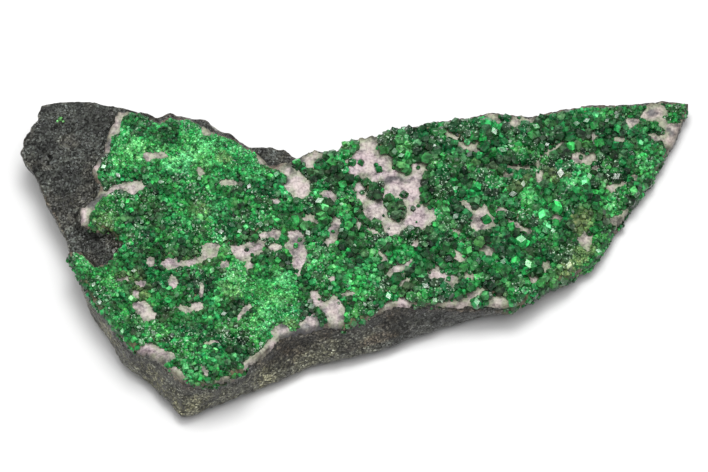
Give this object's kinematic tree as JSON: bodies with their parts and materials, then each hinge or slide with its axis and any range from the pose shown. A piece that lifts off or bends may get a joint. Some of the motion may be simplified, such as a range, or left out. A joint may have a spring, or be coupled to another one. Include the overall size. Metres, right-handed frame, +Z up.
{
  "type": "uvarovite garnet specimen",
  "caption": "Loose mineral plate: a druse of green uvarovite garnet on a thin lavender clinochlore skin over a dark chromite slab. Lies flat for display.",
  "frame": {"origin": "middle of the bounding box, on the surface that the slab lies on", "axes": "+X along the plate from its bare chromite lobe to its pointed tip, +Y to the back, +Z up out of the garnet crust"},
  "size_m": [0.0791, 0.0413, 0.0094],
  "materials": {
    "chromite": "granular dark grey chromite, weathered brown to olive on its broken walls",
    "clinochlore": "pale lavender pink, flaky and slightly waxy",
    "uvarovite": "emerald green crystals with glassy flat faces"
  },
  "bodies": {
    "root": {"chromite_slab": "chromite", "clinochlore_skin": "clinochlore", "uvarovite_crust": "uvarovite", "lone_garnet_1": "uvarovite", "lone_garnet_2": "uvarovite", "lone_garnet_3": "uvarovite", "lone_garnet_4": "uvarovite", "lone_garnet_5": "uvarovite", "lone_garnet_6": "uvarovite", "lone_garnet_7": "uvarovite"}
  },
  "joints": []
}
